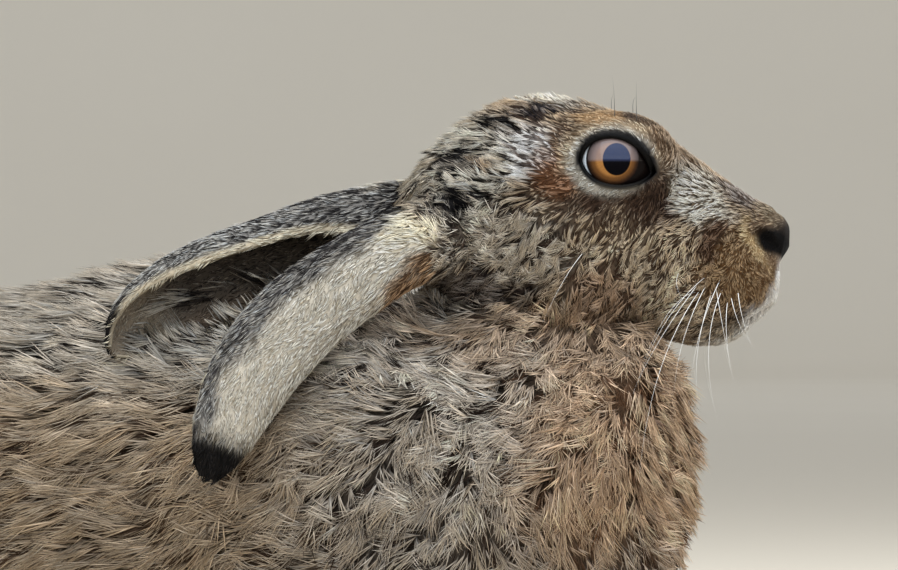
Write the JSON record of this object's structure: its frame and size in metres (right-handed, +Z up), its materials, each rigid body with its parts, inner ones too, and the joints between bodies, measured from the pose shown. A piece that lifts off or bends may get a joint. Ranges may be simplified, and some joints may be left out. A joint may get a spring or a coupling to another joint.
{
  "type": "brown hare",
  "caption": "Life-size still brown hare crouched low on the ground, head up, body turned away behind the neck, ears laid back over the shoulders.",
  "frame": {"origin": "centre of the bounding box on the floor plane", "axes": "+X from rump to nose along the head, +Y to the hare's left, +Z up"},
  "size_m": [0.4542, 0.2188, 0.1807],
  "materials": {
    "coat": "soft ticked fur",
    "ear_coat": "short dense fur",
    "tail_coat": "long soft fur",
    "eye": "wet gloss",
    "eyelid": "moist bare skin",
    "nose": "moist bare skin"
  },
  "bodies": {
    "root": {"head": "coat", "nose": "nose", "ear_right": "ear_coat", "eye_right": "eye", "eyelids_right": "eyelid", "ear_left": "ear_coat", "eye_left": "eye", "eyelids_left": "eyelid", "neck": "coat", "chest": "coat", "loins": "coat", "rump": "coat", "tail": "tail_coat", "foreleg_right": "coat", "forepaw_right": "coat", "foreleg_left": "coat", "forepaw_left": "coat", "haunch_right": "coat", "hind_foot_right": "coat", "haunch_left": "coat", "hind_foot_left": "coat"}
  },
  "joints": []
}
